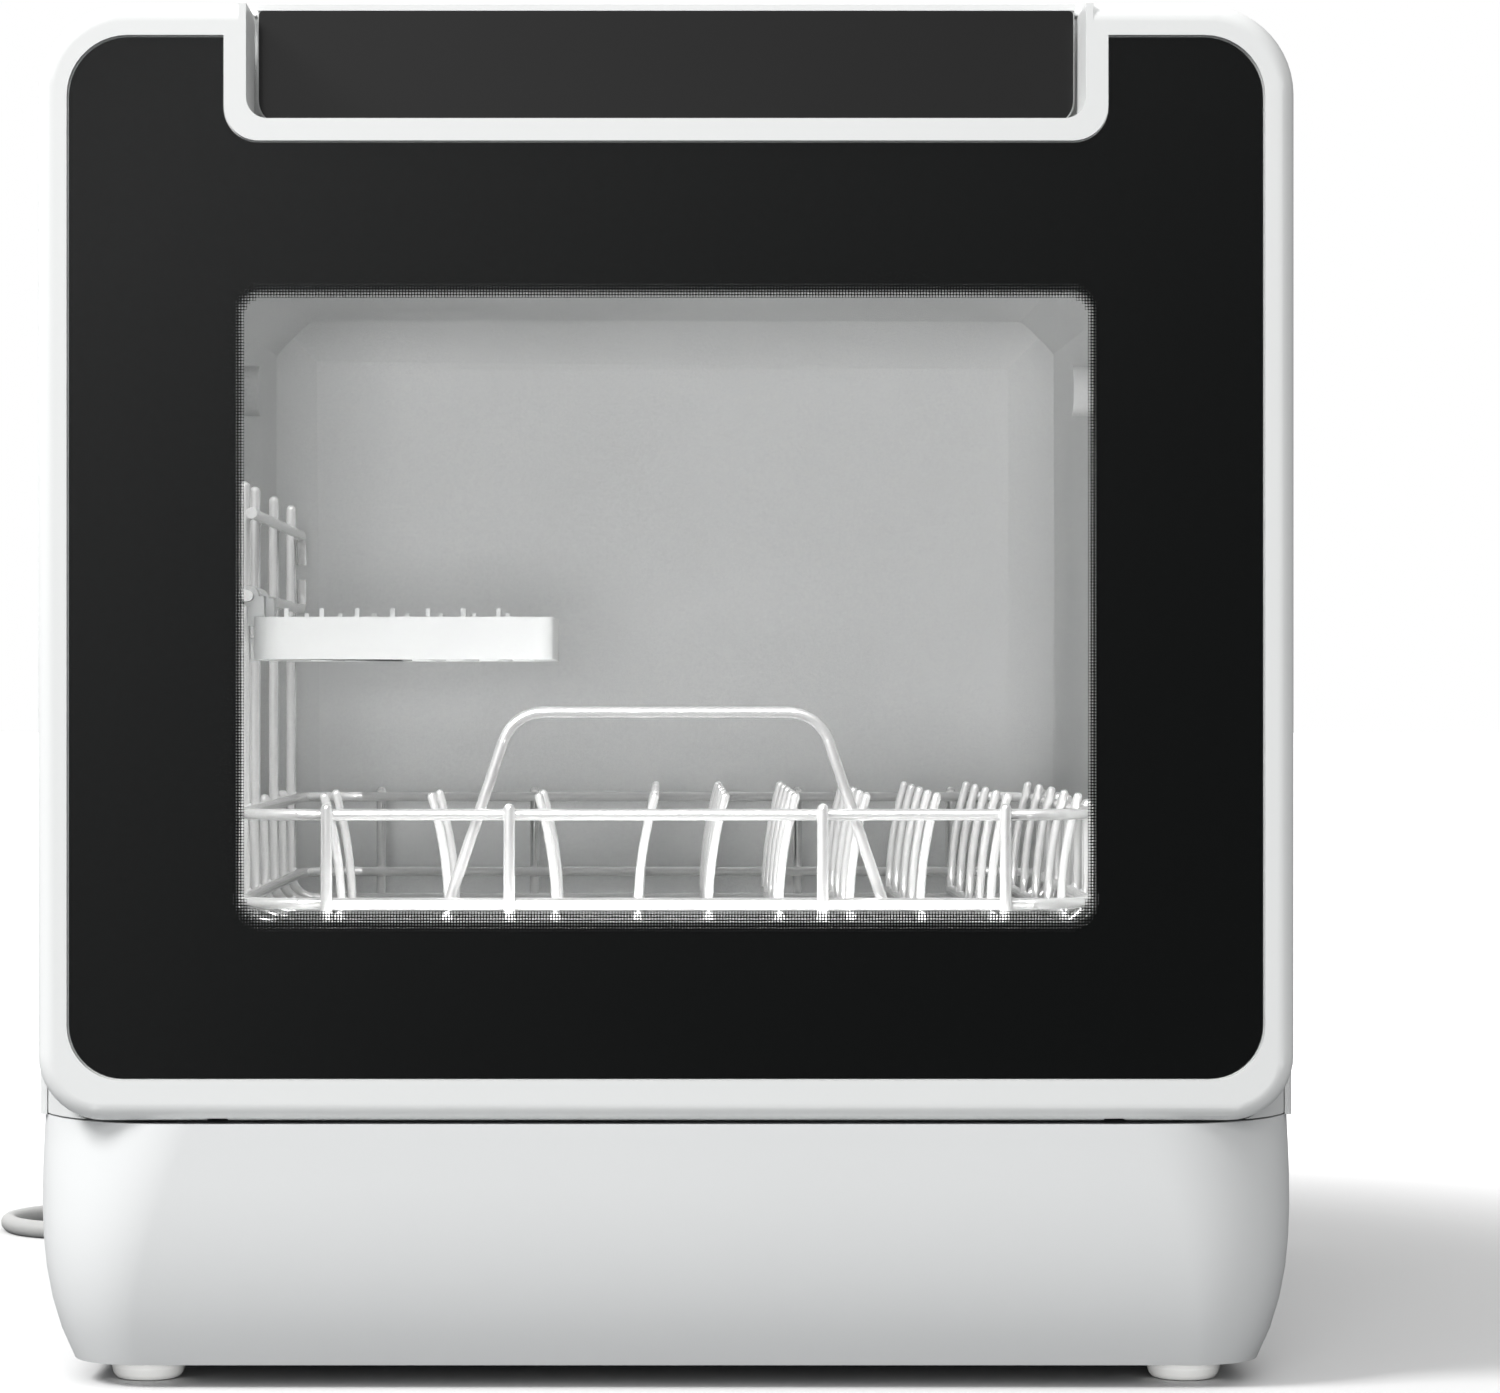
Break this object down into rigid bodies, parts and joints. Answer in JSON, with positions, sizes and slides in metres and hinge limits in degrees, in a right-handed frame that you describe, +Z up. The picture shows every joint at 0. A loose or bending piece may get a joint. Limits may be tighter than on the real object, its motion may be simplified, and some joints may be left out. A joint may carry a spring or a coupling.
{
  "type": "countertop dishwasher",
  "caption": "Boxy countertop dishwasher with a drop-down glass door, a notched grip, a wire basket that slides out, a folding cup shelf, a spray arm and a coiled mains lead.",
  "frame": {"origin": "middle of the footprint on the worktop, without the mains lead", "axes": "+X to the right seen from the front, +Y to the back, +Z up"},
  "size_m": [0.5046, 0.5478, 0.468],
  "materials": {
    "white_paint": "smooth satin white enamel",
    "white_plastic": "smooth white moulding",
    "base_plastic": "fine satin moulding",
    "foot_rubber": "pale rubber",
    "steel_sheet": "zinc coated sheet",
    "tub_steel": "brushed stainless sheet",
    "chrome_wire": "bright plated wire",
    "steel_pin": "turned steel",
    "black_glass": "printed black glass with a clear window",
    "clear_glass": "clear pane",
    "console_glass": "gloss black, blank",
    "seal_rubber": "soft dark seal",
    "grey_plastic": "grey moulding",
    "dark_plastic": "dark moulding",
    "hose_rubber": "black hose",
    "board_green": "circuit board",
    "tank_plastic": "milky blow moulding",
    "cord_plastic": "light grey lead jacket",
    "red_plastic": "red switch button"
  },
  "bodies": {
    "cabinet": {"base_shell": "base_plastic", "base_floor": "steel_sheet", "chassis_deck": "steel_sheet", "feet": "foot_rubber", "cabinet_wrap": "white_paint", "front_frame": "white_paint", "back_panel": "steel_sheet", "back_screws": "steel_pin", "console_housing": "white_plastic", "control_glass": "console_glass", "control_board": "board_green", "fill_funnel": "white_plastic", "water_tank": "tank_plastic", "tub": "tub_steel", "tub_gasket": "seal_rubber", "sump": "grey_plastic", "filter_plate": "tub_steel", "spray_hub": "grey_plastic", "wash_pump": "dark_plastic", "heater": "steel_sheet", "drain_pump": "dark_plastic", "pump_hose": "hose_rubber", "spray_hose": "hose_rubber", "drain_hose": "hose_rubber", "inlet_valve": "white_plastic", "drain_spigot": "dark_plastic", "power_board": "board_green", "fan_housing": "dark_plastic", "latch_housing": "dark_plastic", "hinge_brackets": "steel_pin", "cord_gland": "cord_plastic", "cord_tube": "cord_plastic", "cord_coil": "cord_plastic", "coil_tie": "dark_plastic", "power_plug": "cord_plastic"},
    "door": {"door_frame": "white_plastic", "door_glass": "black_glass", "inner_glass": "clear_glass", "window_spacer": "dark_plastic", "door_liner": "white_plastic", "handle_pocket": "white_plastic", "door_striker": "white_plastic", "dispenser_tray": "grey_plastic", "hinge_pins": "steel_pin"},
    "dispenser_flap": {"dispenser_lid": "white_plastic"},
    "basket": {"basket_floor": "chrome_wire", "basket_front": "chrome_wire", "basket_back": "chrome_wire", "basket_left": "chrome_wire", "basket_right": "chrome_wire", "basket_tines": "chrome_wire", "basket_handle": "chrome_wire", "side_rack": "chrome_wire"},
    "shelf": {"cup_shelf": "white_plastic"},
    "arm": {"spray_arm": "grey_plastic"},
    "lid": {"fill_lid": "white_plastic"},
    "float": {"float_dome": "white_plastic"},
    "filter": {"filter_cup": "grey_plastic"},
    "plunger": {"switch_plunger": "red_plastic"},
    "fan": {"fan_impeller": "dark_plastic"}
  },
  "joints": [
    {"name": "door_hinge", "type": "hinge", "parent": "cabinet", "child": "door", "pos_m": [0, -0.217, 0.097], "axis": [1, 0, 0], "range_deg": [0, 90]},
    {"name": "basket_slide", "type": "slide", "parent": "cabinet", "child": "basket", "axis": [0, -1, 0], "range_m": [0, 0.11]},
    {"name": "shelf_fold", "type": "hinge", "parent": "basket", "child": "shelf", "pos_m": [-0.1486, -0.083, 0.2686], "axis": [0, -1, 0], "range_deg": [0, 88]},
    {"name": "spray_arm_spin", "type": "hinge", "parent": "cabinet", "child": "arm", "pos_m": [0, -0.007, 0.116], "axis": [0, 0, 1], "continuous": true},
    {"name": "fill_lid_hinge", "type": "hinge", "parent": "cabinet", "child": "lid", "pos_m": [-0.14, 0.1335, 0.4665], "axis": [-1, 0, 0], "range_deg": [0, 95]},
    {"name": "dispenser_lid_slide", "type": "slide", "parent": "door", "child": "dispenser_flap", "axis": [1, 0, 0], "range_m": [0, 0.068]},
    {"name": "float_lift", "type": "slide", "parent": "cabinet", "child": "float", "axis": [0, 0, 1], "range_m": [0, 0.006]},
    {"name": "filter_twist", "type": "hinge", "parent": "cabinet", "child": "filter", "pos_m": [0.06, -0.129, 0.1], "axis": [0, 0, 1], "range_deg": [0, 45]},
    {"name": "switch_plunger_slide", "type": "slide", "parent": "cabinet", "child": "plunger", "axis": [0, -1, 0], "range_m": [0, 0.003]},
    {"name": "fan_spin", "type": "hinge", "parent": "cabinet", "child": "fan", "pos_m": [0.07, -0.023, 0.404], "axis": [0, 0, 1], "continuous": true}
  ],
  "couplings": [
    {"joint": "basket_slide", "follows": "door_hinge", "m_per_rad": 0.07},
    {"joint": "switch_plunger_slide", "follows": "door_hinge", "m_per_rad": 0.0019}
  ]
}
